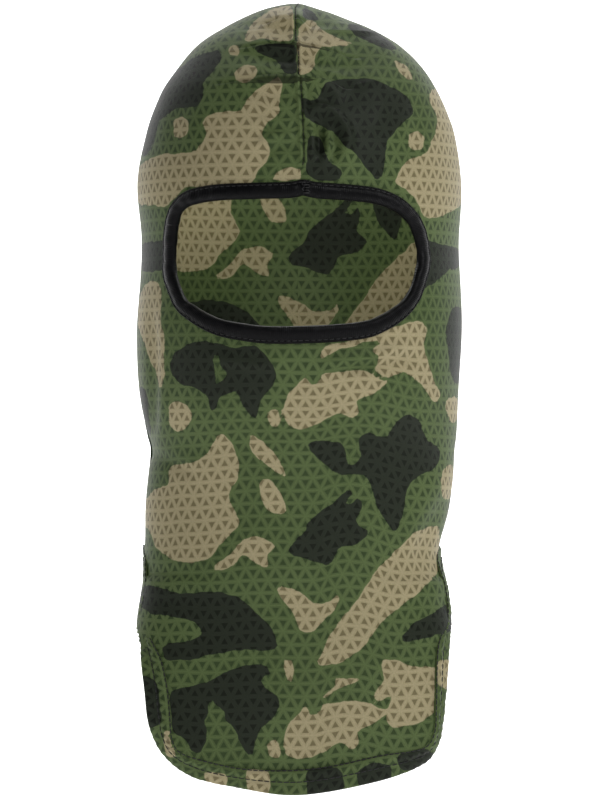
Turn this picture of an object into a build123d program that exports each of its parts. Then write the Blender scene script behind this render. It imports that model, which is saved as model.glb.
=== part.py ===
"""Knitted camouflage face mask: a long hood with one eye opening and two bibs.

The mask has the shape that it takes on a head. +Z is up, -Y is the wearer's front and +X
is the wearer's left. The origin is the middle of the head at eye level, halfway between
the ears. All lengths are in millimetres.
"""

import os
from math import copysign, cos, hypot, pi, sin

from build123d import *

# Cloth and trim
CLOTH = 1.2  # thickness of one layer of knitted cloth
HEM_PROUD = 0.6  # how far a folded hem stands out on each side of the cloth
HEM_WIDTH = 13.0
BINDING_PROUD = 1.7  # how far the eye binding stands out on each side of the cloth
THREAD_PROUD = 0.5  # height of a row of stitches
THREAD_WIDTH = 0.9
TOPSTITCH_INSET = 7.0  # from the lower edge to the second row of hem stitches
SEAM_DEPTH = 6.0  # how far the turned-in seam edges reach into the hood
SEAM_WIDTH = 2.0
SEAM_STITCH_ASIDE = 0.5  # the seam's stitches lie this far to the left of the middle

# Heights
FOLD_HEIGHT = -175.0  # where the bibs fold away from the neck
FOLD_GAP = 0.6
VENT_TOP = -160.0  # top of the vent between the bibs, over each shoulder
VENT_HALF_WIDTH = 9.0  # at the fold
SEAM_FRONT_END = 42.4  # the seam starts just above the eye binding
SEAM_BACK_END = 50.0  # and ends at the back of the crown
BACK_SHORTER = 5.0  # the back bib is this much smaller all round than the front one

# Shape of a level section: 2 is an ellipse, and more is squarer
SQUARENESS = 2.25
SECTION_POINTS = 20
REACH = 150.0  # a cutter this long passes through the whole mask

# Height, then how far the cloth stands to the right of the wearer, to the left, to the
# front and to the back of the middle line. From the fold line up to the crown.
HOOD_LEVELS = [
    (FOLD_HEIGHT, 80.0, 76.5, 62.0, 60.0),
    (-150.0, 80.0, 74.5, 63.0, 61.0),
    (-125.0, 79.5, 77.5, 65.5, 63.0),
    (-98.0, 77.5, 80.5, 72.0, 68.0),
    (-66.0, 82.5, 83.6, 90.0, 84.0),
    (-35.0, 83.0, 84.6, 96.0, 95.0),
    (0.0, 81.0, 84.0, 97.0, 101.0),
    (42.0, 82.0, 83.6, 95.0, 100.0),
    (66.0, 79.0, 80.0, 89.0, 95.0),
    (89.0, 70.0, 70.6, 77.0, 84.0),
    (105.0, 58.6, 58.6, 61.0, 70.0),
    (118.0, 41.0, 40.0, 42.0, 53.0),
    (127.0, 25.0, 21.0, 22.0, 34.0),
    (132.0, 11.0, 7.0, 8.0, 18.0),
]

# Height, right, left, distance of the widest line from the middle, and depth of the curve
# in front of that line. The bibs flatten as they hang.
BIB_LEVELS = [
    (FOLD_HEIGHT - FOLD_GAP, 80.0, 76.5, 9.0, 53.0),
    (-195.0, 83.0, 79.0, 16.0, 47.0),
    (-225.0, 90.0, 84.0, 25.0, 40.0),
    (-280.0, 92.0, 85.0, 30.0, 37.0),
]

# The lower edge of the front bib, seen from the front, before its corners are rounded
BIB_BAR_TOP = FOLD_HEIGHT + 40  # the bars that cut the bibs reach well above them
BIB_CORNERS = [
    (-81.5, -215.0),
    (-76.5, -263.5),
    (-7.0, -280.0),
    (75.0, -263.0),
    (78.6, -215.0),
    (92.0, BIB_BAR_TOP),
    (-92.0, BIB_BAR_TOP),
]
BIB_RADII = [0, 42.0, 150.0, 42.0, 0, 0, 0]  # of those corners, in the same order

# Half the gap between the bibs at each height, seen from the side, and the share of an
# inset that the hem takes there
BIB_SIDES = [
    (BIB_BAR_TOP, VENT_HALF_WIDTH, 1.0),
    (-195.0, 14.0, 1.0),
    (-225.0, 25.0, 0.4),
    (-300.0, 25.0, 0.0),
]

# Outline of the eye opening seen from the front: the edge of the cloth under the binding
EYE_HALF_WIDTH = 66.0
EYE_TOP = 37.0
EYE_BOTTOM = -37.5
EYE_RADIUS = 30.0
BINDING_RADIUS = 3.6  # how much the corners' radius grows with one reach of the binding
BINDING_ABOVE = 4.6  # how far the binding reaches from that edge, above and below
BINDING_ASIDE = 2.6  # the same at the sides, where the cloth turns away
ELASTIC_START = 0.1  # share of that reach where the elastic starts
ELASTIC_END = 0.8
BINDING_STITCH = -0.6  # share of the reach, outwards, of the row of stitches
BINDING_STITCH_SHARE = 0.15
JOIN_SIDE = 4.2  # the ends of the binding meet this far to the left of the middle
JOIN_WIDTH = 3.0
JOIN_BOTTOM = 33.5
JOIN_TOP = 41.4

os.makedirs("parts", exist_ok=True)


def bent(value, power):
    """A cosine or sine raised to a power, keeping its sign."""
    return copysign(abs(value) ** power, value)


def oval(right, left, front, back, middle=0.0, start=0):
    """Points round a level section. Start is the point to begin at, counted from the
    wearer's left and on to the back."""
    found = []
    for step in range(start, start + SECTION_POINTS):
        angle = 2 * pi * step / SECTION_POINTS
        across = bent(cos(angle), 2 / SQUARENESS)
        along = bent(sin(angle), 2 / SQUARENESS)
        x = across * (left if across > 0 else right)
        y = along * (back if along > 0 else front)
        found.append((x, middle + y))
    return found


def hood_form(grow):
    """The solid that fills the hood, its surface moved out by grow."""
    last = len(HOOD_LEVELS) - 1
    with BuildPart() as form:
        for place, (height, right, left, front, back) in enumerate(HOOD_LEVELS):
            below = HOOD_LEVELS[max(place - 1, 0)]
            above = HOOD_LEVELS[min(place + 1, last)]
            rise = above[0] - below[0]
            narrowing = (sum(below[1:]) - sum(above[1:])) / 4
            out = grow * rise / hypot(rise, narrowing)
            up = grow * narrowing / hypot(rise, narrowing) if place > 0 else 0
            with BuildSketch(Plane.XY.offset(height + up)):
                with BuildLine():
                    Spline(oval(right + out, left + out, front + out, back + out), periodic=True)
                make_face()
        loft()
    return form.part


def bib_form(grow, side):
    """The solid whose outer face is one bib, moved out by grow. Side is -1 in front."""
    with BuildPart() as form:
        for height, right, left, middle, depth in BIB_LEVELS:
            deep = depth + grow
            start = SECTION_POINTS // 4 if side < 0 else -SECTION_POINTS // 4
            points = oval(right + grow, left + grow, deep, deep, side * middle, start)
            with BuildSketch(Plane.XY.offset(height)):
                with BuildLine():
                    Spline(points, periodic=True)
                make_face()
        loft()
    return form.part


def layer(outer, inner):
    """What lies between two forms, one inside the other."""
    with BuildPart() as between:
        add(outer)
        add(inner, mode=Mode.SUBTRACT)
    return between.part


def eye_bar(outward):
    """A bar through the front with the outline of the eye opening, moved outward by so many
    reaches of the binding."""
    half_width = EYE_HALF_WIDTH + BINDING_ASIDE * outward
    top = EYE_TOP + BINDING_ABOVE * outward
    bottom = EYE_BOTTOM - BINDING_ABOVE * outward
    radius = EYE_RADIUS + BINDING_RADIUS * outward
    with BuildPart() as bar:
        with BuildSketch(Plane.XZ):
            with Locations((0, (top + bottom) / 2)):
                RectangleRounded(2 * half_width, top - bottom, radius)
        extrude(amount=REACH)
    return bar.part


def bib_bar(inset, side):
    """A bar that holds one bib, its edges moved in by inset. Side is -1 in front."""
    shrink = inset if side < 0 else inset + BACK_SHORTER
    with BuildPart() as bar:
        with BuildSketch(Plane.XZ):
            with BuildLine():
                FilletPolyline(*BIB_CORNERS, radius=BIB_RADII, close=True)
            make_face()
            if shrink > 0:
                offset(amount=-shrink, mode=Mode.REPLACE)
        extrude(amount=REACH, both=True)
        with BuildSketch(Plane.YZ):
            with BuildLine():
                sides = [(side * (gap + share * inset), z) for z, gap, share in BIB_SIDES]
                Polyline(*sides, (side * REACH, -300), (side * REACH, BIB_BAR_TOP), close=True)
            make_face()
        extrude(amount=REACH, both=True, mode=Mode.INTERSECT)
    return bar.part


def vent_bar(grow, side):
    """A bar through one shoulder vent, its edges moved out by grow. Side is -1 on the right."""
    half = VENT_HALF_WIDTH + grow
    with BuildPart() as bar:
        with BuildSketch(Plane.YZ):
            with BuildLine():
                arch = ThreePointArc((-half, FOLD_HEIGHT), (0, VENT_TOP + grow), (half, FOLD_HEIGHT))
                Polyline(arch @ 1, (half, -190), (-half, -190), arch @ 0)
            make_face()
        extrude(amount=side * REACH)
    return bar.part


def seam_box(low_x, high_x):
    """A thin upright box along the middle, over the crown."""
    with BuildPart() as box:
        with BuildSketch(Plane.YZ.offset(low_x)):
            with BuildLine():
                Polyline(
                    (-REACH, SEAM_FRONT_END),
                    (0, SEAM_FRONT_END),
                    (0, SEAM_BACK_END),
                    (REACH, SEAM_BACK_END),
                    (REACH, REACH),
                    (-REACH, REACH),
                    close=True,
                )
            make_face()
        extrude(amount=high_x - low_x)
    return box.part


def finish(part, name):
    """Label one sub-part and write its file."""
    part.label = name
    export_step(part, f"parts/{name}.step")
    print(f"{name}: {len(part.solids())} solid, {part.volume:.0f} mm3")


hood_outer = hood_form(0)
hood_inner = hood_form(-CLOTH)
hood_layer = layer(hood_outer, hood_inner)
hood_hem_outer = hood_form(HEM_PROUD)
hood_hem_layer = layer(hood_hem_outer, hood_form(-CLOTH - HEM_PROUD))
hood_hem_thread_layer = layer(hood_form(HEM_PROUD + THREAD_PROUD), hood_hem_outer)
binding_outer = hood_form(BINDING_PROUD)
binding_thread_layer = layer(hood_form(BINDING_PROUD + THREAD_PROUD), binding_outer)
eye_edge = eye_bar(0)

# The hood is one piece of knitted cloth. It wraps the head, and its two edges meet in the
# seam that runs over the crown.
with BuildPart() as hood_cloth:
    add(hood_layer)
    add(eye_edge, mode=Mode.SUBTRACT)
    for side in (-1, 1):
        add(vent_bar(HEM_WIDTH, side), mode=Mode.SUBTRACT)
finish(hood_cloth.part, "hood_cloth")

# The two edges of the cloth are turned in along the seam and overlocked together.
with BuildPart() as crown_seam_edges:
    add(layer(hood_inner, hood_form(-CLOTH - SEAM_DEPTH)))
    add(seam_box(-SEAM_WIDTH / 2, SEAM_WIDTH / 2), mode=Mode.INTERSECT)
finish(crown_seam_edges.part, "crown_seam_edges")

with BuildPart() as crown_seam_stitches:
    add(layer(hood_form(THREAD_PROUD), hood_outer))
    add(seam_box(SEAM_STITCH_ASIDE, SEAM_STITCH_ASIDE + THREAD_WIDTH), mode=Mode.INTERSECT)
finish(crown_seam_stitches.part, "crown_seam_stitches")

# The eye binding is a tape folded over the raw edge of the cloth, with elastic in its fold.
with BuildPart() as binding_elastic:
    add(hood_layer)
    add(eye_bar(-ELASTIC_START), mode=Mode.INTERSECT)
    add(eye_bar(-ELASTIC_END), mode=Mode.SUBTRACT)
finish(binding_elastic.part, "binding_elastic")

with BuildPart() as face_binding:
    add(layer(binding_outer, hood_form(-CLOTH - BINDING_PROUD)))
    add(eye_bar(1), mode=Mode.INTERSECT)
    add(eye_bar(-1), mode=Mode.SUBTRACT)
    add(hood_cloth.part, mode=Mode.SUBTRACT)
    add(binding_elastic.part, mode=Mode.SUBTRACT)
finish(face_binding.part, "face_binding")

with BuildPart() as binding_stitches:
    add(binding_thread_layer)
    add(eye_bar(-BINDING_STITCH), mode=Mode.INTERSECT)
    add(eye_bar(-BINDING_STITCH - BINDING_STITCH_SHARE), mode=Mode.SUBTRACT)
    with BuildSketch(Plane.XZ):
        with Locations((JOIN_SIDE, (JOIN_BOTTOM + JOIN_TOP) / 2)):
            Rectangle(JOIN_WIDTH + 1, JOIN_TOP - JOIN_BOTTOM + 6)
    extrude(amount=REACH, mode=Mode.SUBTRACT)
finish(binding_stitches.part, "binding_stitches")

with BuildPart() as binding_join_stitches:
    add(binding_thread_layer)
    with BuildSketch(Plane.XZ):
        with Locations((JOIN_SIDE, (JOIN_BOTTOM + JOIN_TOP) / 2)):
            Rectangle(JOIN_WIDTH, JOIN_TOP - JOIN_BOTTOM)
    extrude(amount=REACH, mode=Mode.INTERSECT)
finish(binding_join_stitches.part, "binding_join_stitches")

# The hem is folded cloth that runs round both bibs and over the two shoulder vents.
for name, side in (("right_vent", -1), ("left_vent", 1)):
    with BuildPart() as vent_hem:
        add(hood_hem_layer)
        add(vent_bar(HEM_WIDTH, side), mode=Mode.INTERSECT)
        add(vent_bar(0, side), mode=Mode.SUBTRACT)
    finish(vent_hem.part, name + "_hem")

    with BuildPart() as vent_stitches:
        add(hood_hem_thread_layer)
        add(vent_bar(HEM_WIDTH - 0.2, side), mode=Mode.INTERSECT)
        add(vent_bar(HEM_WIDTH - 0.2 - THREAD_WIDTH, side), mode=Mode.SUBTRACT)
    finish(vent_stitches.part, name + "_hem_stitches")

for name, side in (("front", -1), ("back", 1)):
    outer = bib_form(0, side)
    inner = bib_form(-CLOTH, side)
    hem_outer = bib_form(HEM_PROUD, side)
    hem_thread_layer = layer(bib_form(HEM_PROUD + THREAD_PROUD, side), hem_outer)
    cloth_bar = bib_bar(HEM_WIDTH, side)

    with BuildPart() as bib_cloth:
        add(layer(outer, inner))
        add(cloth_bar, mode=Mode.INTERSECT)
    finish(bib_cloth.part, name + "_bib_cloth")

    with BuildPart() as bib_hem:
        add(layer(hem_outer, bib_form(-CLOTH - HEM_PROUD, side)))
        add(bib_bar(0, side), mode=Mode.INTERSECT)
        add(cloth_bar, mode=Mode.SUBTRACT)
    finish(bib_hem.part, name + "_bib_hem")

    with BuildPart() as hem_seam_stitches:
        add(hem_thread_layer)
        add(bib_bar(HEM_WIDTH - 0.2 - THREAD_WIDTH, side), mode=Mode.INTERSECT)
        add(bib_bar(HEM_WIDTH - 0.2, side), mode=Mode.SUBTRACT)
    finish(hem_seam_stitches.part, name + "_hem_seam_stitches")

    with BuildPart() as hem_topstitches:
        add(hem_thread_layer)
        add(bib_bar(TOPSTITCH_INSET, side), mode=Mode.INTERSECT)
        add(bib_bar(TOPSTITCH_INSET + THREAD_WIDTH, side), mode=Mode.SUBTRACT)
    finish(hem_topstitches.part, name + "_hem_topstitches")
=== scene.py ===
# %% [markdown]
# # A knitted camouflage face mask
#
# The mask is a hood of thin printed stretch cloth with one bound eye opening. Below the neck
# it ends in a rounded bib in front and another behind. The CAD model fixes where everything
# is. This script builds what is seen: the cloth with its puckers and print, the black binding,
# the hems and the stitches. It then adds a pale studio and a camera.
#
# Shapes are written in millimetres as they look from the front. They become metres in the
# frame that the CAD model gives, where the wearer faces -Y and +Z is up.

import math

import bpy
import numpy as np
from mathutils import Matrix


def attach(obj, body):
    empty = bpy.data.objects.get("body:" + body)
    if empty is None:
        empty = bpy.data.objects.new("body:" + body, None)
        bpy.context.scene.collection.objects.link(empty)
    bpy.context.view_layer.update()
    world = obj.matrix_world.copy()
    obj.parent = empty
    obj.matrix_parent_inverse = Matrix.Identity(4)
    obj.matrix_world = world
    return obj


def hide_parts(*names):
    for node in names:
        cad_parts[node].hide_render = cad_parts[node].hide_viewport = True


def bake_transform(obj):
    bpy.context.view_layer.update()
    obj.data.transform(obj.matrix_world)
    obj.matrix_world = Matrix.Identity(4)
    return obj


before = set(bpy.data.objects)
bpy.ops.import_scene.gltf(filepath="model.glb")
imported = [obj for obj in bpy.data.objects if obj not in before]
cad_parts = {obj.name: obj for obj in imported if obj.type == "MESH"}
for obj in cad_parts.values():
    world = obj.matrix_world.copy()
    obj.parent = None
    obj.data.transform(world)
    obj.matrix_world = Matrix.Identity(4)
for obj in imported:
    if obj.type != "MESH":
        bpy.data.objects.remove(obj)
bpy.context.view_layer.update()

# %% [markdown]
# ## The shape of the worn cloth
#
# A stretched hood takes the shape of the head in it. It could be a sphere that is pulled into
# shape by hand, but then its seam and hem would be hard to place. Here each level of the hood
# is a squarish oval instead, and splines join the levels.
#
# The first table gives the height of a level, then how far the cloth stands to the wearer's
# right, to the left and to the front. Its last number is how far the front and back halves
# have parted at the sides, which only happens over the shoulders and along the bibs. The
# second table gives how far the cloth stands to the back.

# %% The levels, from the lower edge of the bibs to the crown
SQUARENESS = 2.25
FRONT_LEVELS = [
    (-282.0, 92.0, 85.0, 67.0, 30.0),
    (-255.0, 91.5, 85.0, 66.2, 28.0),
    (-225.0, 90.0, 84.0, 65.0, 25.0),
    (-206.0, 87.0, 81.5, 64.0, 20.0),
    (-191.0, 83.5, 79.5, 63.0, 14.5),
    (-175.4, 81.0, 77.9, 62.0, 9.0),
    (-171.0, 80.4, 77.6, 62.0, 10.2),
    (-166.5, 79.9, 77.0, 62.1, 9.4),
    (-162.5, 79.9, 76.0, 62.3, 6.6),
    (-160.2, 79.9, 75.3, 62.5, 0.0),
    (-152.1, 80.4, 73.2, 63.0, 0.0),
    (-144.3, 79.9, 73.7, 63.5, 0.0),
    (-128.7, 79.4, 77.3, 65.0, 0.0),
    (-113.1, 77.9, 79.4, 67.5, 0.0),
    (-97.6, 76.6, 80.4, 72.0, 0.0),
    (-89.8, 78.4, 81.5, 76.0, 0.0),
    (-74.2, 81.5, 83.0, 86.0, 0.0),
    (-58.6, 83.0, 84.1, 92.0, 0.0),
    (-35.3, 83.0, 84.6, 96.0, 0.0),
    (-11.9, 81.0, 84.6, 97.0, 0.0),
    (11.4, 81.0, 83.5, 97.0, 0.0),
    (34.8, 82.5, 84.1, 96.0, 0.0),
    (50.3, 81.5, 83.0, 94.0, 0.0),
    (65.9, 78.9, 80.4, 89.0, 0.0),
    (73.7, 76.8, 77.9, 86.0, 0.0),
    (81.5, 73.7, 74.7, 82.0, 0.0),
    (89.3, 70.1, 70.6, 77.0, 0.0),
    (97.1, 64.9, 65.4, 69.5, 0.0),
    (104.8, 58.6, 58.6, 61.0, 0.0),
    (112.6, 50.3, 49.8, 51.0, 0.0),
    (120.4, 38.5, 36.8, 37.0, 0.0),
    (124.6, 31.0, 27.0, 28.0, 0.0),
    (129.2, 20.7, 15.6, 17.0, 0.0),
    (131.8, 12.5, 7.5, 9.0, 0.0),
    (133.2, 6.0, 2.5, 3.5, 0.0),
    (133.6, 0.3, 0.3, 0.1, 0.0),
]
BACK_DEPTH = [
    (-282.0, 64.0),
    (-225.0, 62.5),
    (-175.0, 60.0),
    (-144.3, 61.3),
    (-113.1, 65.0),
    (-89.8, 71.5),
    (-58.6, 87.0),
    (-35.3, 95.0),
    (0.0, 101.0),
    (34.8, 100.5),
    (58.0, 97.3),
    (73.7, 92.0),
    (89.3, 84.0),
    (104.8, 70.0),
    (112.6, 61.0),
    (120.4, 49.0),
    (124.6, 40.0),
    (129.2, 27.0),
    (131.8, 17.0),
    (133.2, 8.0),
    (133.6, 0.1),
]
CAMERA_AWAY = 2300.0  # millimetres from the camera to the middle of the head
CAMERA_X, CAMERA_Z = 1.0, -71.6


def spline(points, steps):
    """A smooth line through points, with so many steps between each pair."""
    pts = np.array(points, float)
    ends = np.vstack([2 * pts[0] - pts[1], pts, 2 * pts[-1] - pts[-2]])
    t = np.linspace(0, 1, steps, endpoint=False)[:, None]
    found = []
    for k in range(1, len(ends) - 2):
        a, b, c, d = ends[k - 1 : k + 3]
        slope, bend, twist = c - a, 2 * a - 5 * b + 4 * c - d, 3 * b - a - 3 * c + d
        found.append(0.5 * (2 * b + slope * t + bend * t**2 + twist * t**3))
    return np.vstack([*found, pts[-1:]])


def closed_spline(points, steps):
    """A smooth closed line through points."""
    pts = np.array(points, float)
    wrapped = np.vstack([pts[-2:], pts, pts[:3]])
    return spline(wrapped, steps)[2 * steps : (2 + len(pts)) * steps]


FRONT_FINE = spline(FRONT_LEVELS, 40)
FRONT_FINE[:, 4] = np.clip(FRONT_FINE[:, 4], 0, None)
FRONT_Z = np.maximum.accumulate(FRONT_FINE[:, 0])
BACK_FINE = spline(BACK_DEPTH, 40)
BACK_Z = np.maximum.accumulate(BACK_FINE[:, 0])


def level(z):
    """Right, left, front, back and parting at height z."""
    right, left, front, parted = (np.interp(z, FRONT_Z, FRONT_FINE[:, k]) for k in (1, 2, 3, 4))
    return right, left, front, np.interp(z, BACK_Z, BACK_FINE[:, 1]), parted


print("fine levels", len(FRONT_FINE), "in front and", len(BACK_FINE), "behind")

# %% [markdown]
# ## Creases and puckers
#
# Thin knit is never smooth: it swells over the head, gathers at its seam and creases where it
# is pulled. Sculpting by hand could do this too, but a list of ridges and grooves, each a
# line with a width and a height, is easy to read and to change. Round the join of the
# binding, above the eyes, the creases are tight and deep.

# %% Ridges and grooves of the worn cloth
def bump(x, z, points, width, height):
    """A ridge, or a groove if height is negative, along a line through points."""
    line = spline(points, 12) if len(points) > 2 else np.array(points, float)
    best = np.full(np.shape(x), 1e9)
    along = np.zeros(np.shape(x))
    for k in range(len(line) - 1):
        (ax, az), (bx, bz) = line[k], line[k + 1]
        dx, dz = bx - ax, bz - az
        t = np.clip(((x - ax) * dx + (z - az) * dz) / (dx * dx + dz * dz + 1e-9), 0, 1)
        far = np.hypot(x - ax - t * dx, z - az - t * dz)
        nearer = far < best
        best = np.where(nearer, far, best)
        along = np.where(nearer, (k + t) / (len(line) - 1), along)
    taper = np.clip(np.sin(np.pi * np.clip(along, 0, 1)) * 1.6, 0, 1) * 0.85 + 0.15
    return height * taper * np.exp(-((best / width) ** 2))


# The line each ridge or groove follows, its width and its height
CREASES = [
    ([(2, 71), (10, 73.5), (18, 70), (24, 60), (22, 47)], 2.4, 5.0),
    ([(9, 67), (9.5, 58), (8, 50)], 2.9, -7.2),
    ([(16, 64), (17, 55), (14, 46)], 2.0, -3.8),
    ([(3, 66), (5, 57), (4, 48)], 1.7, 3.0),
    ([(13, 60), (13, 53), (11, 46)], 1.7, 3.0),
    ([(-20, 56), (-12, 60), (-3, 59)], 2.2, 2.4),
    ([(-19, 51), (-10, 54), (-3, 52)], 2.0, -2.2),
    ([(-22, 63.5), (-10, 62.5), (-1, 63)], 1.6, -1.5),
    ([(-24, 66.5), (-10, 66), (-2, 66)], 2.4, 1.0),
    ([(3, 81), (12, 84), (24, 82)], 2.8, 1.9),
    ([(4, 90), (14, 91), (30, 87)], 2.6, -1.5),
    ([(11, -53), (30, -50), (55, -44)], 2.4, 3.2),
    ([(20, -58), (40, -56), (62, -50)], 2.4, -2.6),
    ([(-44, -50), (-22, -54), (0, -52)], 2.8, 1.6),
    ([(-73, -22), (-73.5, -50), (-74, -75), (-77, -97)], 3.4, -2.4),
    ([(-68, -25), (-68, -55), (-70, -85)], 4.5, 1.0),
    ([(-80, -98), (-66, -103), (-50, -110)], 3.6, -1.5),
    ([(78, -118), (66, -140), (62, -158)], 5.0, -1.3),
    ([(74, -108), (62, -125), (52, -150)], 7.0, 1.1),
    ([(-60, -120), (-30, -128), (10, -126)], 9.0, -0.8),
    ([(-55, -150), (-10, -160), (45, -150)], 9.0, 0.9),
    ([(20, -190), (45, -205), (60, -225)], 8.0, 0.8),
    ([(-50, -195), (-30, -215), (-20, -240)], 9.0, 0.7),
    ([(-52, 45), (-62, 60), (-58, 84)], 6.0, -0.7),
    ([(48, 48), (60, 62), (60, 84)], 6.0, -0.8),
    ([(35, 60), (42, 76), (40, 95)], 5.0, 0.8),
]
# Slow swells: height, how fast they run across and up, and where they start
SWELLS = [(0.45, 0.062, 0.031, 0.4), (0.35, 0.037, -0.083, 2.1), (0.2, 0.131, 0.117, 1.0)]
EYE_TOP, CROWN_TOP = 44, 132  # the crown seam gathers the cloth between these heights
GATHER_REACH = 15.0


def relief(x, z, front=True):
    """How far the worn cloth stands out from the smooth shape."""
    swells = sum(tall * np.sin(x * across + z * up + start) for tall, across, up, start in SWELLS)
    gather = np.exp(-np.abs(x) / GATHER_REACH)
    gather = gather * np.clip((z - EYE_TOP) / 12, 0, 1) * np.clip((CROWN_TOP - z) / 14, 0, 1)
    puckers = 0.55 * np.sin(z * 0.61 + 0.3 * np.sign(x)) + 0.3 * np.sin(z * 1.13 + 1.4)
    total = swells * np.clip((CROWN_TOP + 2 - z) / 30, 0, 1) + gather * puckers
    if front:
        for points, width, height in CREASES:
            total = total + bump(x, z, points, width, height)
    return total


def front_y(x, z):
    """Where the cloth of the front half is, at a place seen from the front."""
    right, left, front, _, parted = level(z)
    reach = np.where(x < 0, right, left)
    share = np.clip(np.abs(x) / np.maximum(reach, 0.1), 0, 0.9995)
    deep = (1 - share**SQUARENESS) ** (1 / SQUARENESS)
    return -(parted + (front - parted) * deep)



def front_normal(x, z):
    """The direction in which the front cloth faces."""
    dx = front_y(x + 0.5, z) - front_y(x - 0.5, z)
    dz = front_y(x, z + 0.5) - front_y(x, z - 0.5)
    n = np.stack([dx, -np.ones_like(dx), dz], -1)
    return n / np.linalg.norm(n, axis=-1, keepdims=True)


def seen(points):
    """Where sight lines from the camera meet the front cloth. Points are as they look from
    the front, at the scale of the middle of the head."""
    pts = np.array(points, float)
    x, z = pts[:, 0].copy(), pts[:, 1].copy()
    for _ in range(6):  # each round comes closer to the cloth
        near = (CAMERA_AWAY + front_y(x, z)) / CAMERA_AWAY
        x = CAMERA_X + (pts[:, 0] - CAMERA_X) * near
        z = CAMERA_Z + (pts[:, 1] - CAMERA_Z) * near
    return np.stack([x, z], 1)


def on_front(points, lift=0.0):
    """Points of the front cloth in three dimensions, lifted off it."""
    x, z = points[:, 0], points[:, 1]
    base = np.stack([x, front_y(x, z), z], 1)
    return base + front_normal(x, z) * (relief(x, z)[:, None] + lift)


print("front at eye level", round(float(front_y(np.array(0.0), np.array(0.0))), 1), "mm")

# %% [markdown]
# ## The grid of the cloth
#
# The front and the back half are each one grid, so that the cloth is two clean sheets that
# meet at the crown seam and the sides. Columns are places round a level, by the length of
# cloth from the middle, with narrow ones beside the seam. Rows are 2 mm apart along the cloth.
#
# Three folds cross the crown seam, where the cloth above laps over the cloth below. A bump
# can't lap over, so the rows themselves run up, back down and up again there.

# %% Columns and rows
NEAR_SEAM = [0.0, 0.3, 0.7, 1.2, 1.8, 2.6, 3.6, 5.0]
SIDE_COLUMNS = 62
ROW_STEP = 2.0
THINNEST = 0.02  # no level is narrower than this, so the pole stays open to arithmetic
# Height at the seam, slope to the right and left of it, and how far the fold reaches each way
FOLDS = [
    (86.4, 0.0, -0.12, 47.0, 30.0),
    (104.8, 0.02, -0.17, 36.0, 36.0),
    (118.8, 0.02, -0.10, 20.0, 9.0),
]
# Height folded, how far it stands out, and height where the fold has died away
FOLD_PATH = [
    (-2.4, 0.0, -2.2),
    (0.0, 0.0, -1.7),
    (2.6, 0.1, -1.1),
    (3.6, 0.6, -0.5),
    (2.0, 1.2, 0.0),
    (-0.8, 1.5, 0.5),
    (-2.0, 1.9, 1.0),
    (-2.3, 2.5, 1.3),
    (-1.6, 2.9, 1.7),
    (1.4, 2.7, 2.2),
]
FOLD_CLEAR = 3.0  # plain rows keep this far from a fold


def smooth(low, high, value):
    """0 at low, 1 at high, and gentle at both ends; low may be the higher one."""
    t = np.clip((value - low) / (high - low), 0, 1)
    return t * t * (3 - 2 * t)


def quarter(reach, parted, depth, count=160):
    """One quarter of a level, from the middle to the side: across, along and length."""
    reach, depth = max(reach, THINNEST), max(depth, THINNEST)
    angle = np.linspace(0, np.pi / 2, count)
    across = reach * np.sin(angle) ** (2 / SQUARENESS)
    along = parted + (depth - parted) * np.cos(angle) ** (2 / SQUARENESS)
    across[-1], along[-1] = reach, parted
    length = np.concatenate([[0], np.cumsum(np.hypot(np.diff(across), np.diff(along)))])
    return across, along, length


def column_lengths(total):
    """Lengths from the middle to each column of one quarter."""
    near = np.array(NEAR_SEAM) * min(1.0, total / 40.0)
    rest = np.linspace(near[-1], total, SIDE_COLUMNS + 1)[1:]
    return np.concatenate([near, rest])


def rows_of(bottom, folds):
    """Each row's height, the fold it belongs to (-1 for none) and its place in that fold."""
    rise = np.hypot(np.diff(FRONT_FINE[:, 3]), np.diff(FRONT_Z))
    length = np.concatenate([[0], np.cumsum(rise)])
    start = np.interp(bottom, FRONT_Z, length)
    heights = np.interp(np.arange(start, length[-1], ROW_STEP), length, FRONT_Z)
    heights = np.append(heights, FRONT_Z[-1])
    rows = []
    for fold, (middle, *_) in enumerate(folds):
        heights = heights[np.abs(heights - middle) > FOLD_CLEAR]
        rows += [(middle + path[2], fold, place) for place, path in enumerate(FOLD_PATH)]
    rows += [(height, -1, 0) for height in heights]
    return sorted(rows)


def grid_of_half(front, bottom):
    """The smooth shape of one half: points in rows and columns, lengths round, and the rows."""
    rows = rows_of(bottom, FOLDS if front else [])
    points, around = [], []
    for height, _, _ in rows:
        right, left, front_deep, back_deep, parted = (float(v) for v in level(height))
        sides = []
        for reach, sign in ((right, -1), (left, 1)):
            across, along, length = quarter(reach, parted, front_deep if front else back_deep)
            want = column_lengths(length[-1])
            x = sign * np.interp(want, length, across)
            y = np.interp(want, length, along) * (-1 if front else 1)
            sides.append(np.stack([x, y, np.full_like(x, height), sign * want], 1))
        row = np.vstack([sides[0][::-1], sides[1][1:]])
        points.append(row[:, :3])
        around.append(row[:, 3])
    return np.array(points), np.array(around), rows


def facing(points, front):
    """Unit normals of one half's grid, outwards."""
    n = np.cross(np.gradient(points, axis=1), np.gradient(points, axis=0))
    n /= np.maximum(np.linalg.norm(n, axis=2, keepdims=True), 1e-9)
    return n if front else -n


print("columns", 2 * (len(NEAR_SEAM) + SIDE_COLUMNS) - 1, "rows", len(rows_of(-275.0, FOLDS)))

# %% [markdown]
# ## Folds, seam and puckers on the grid
#
# The smooth grid now gets its relief. Along the crown seam each edge of cloth rolls up to a small
# lip beside a groove. Each fold leans a little, is strongest at the seam and dies away towards the
# sides. The rows just above a fold stand proud and the rows below it are pressed in. The cloth that
# lies under the lip of a fold is marked with painted shade, so that the material darkens it as the
# shadow there.

# %% Two halves of worn cloth
FOLD_FELT = 26  # rows within this height of a fold take part in it


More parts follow.
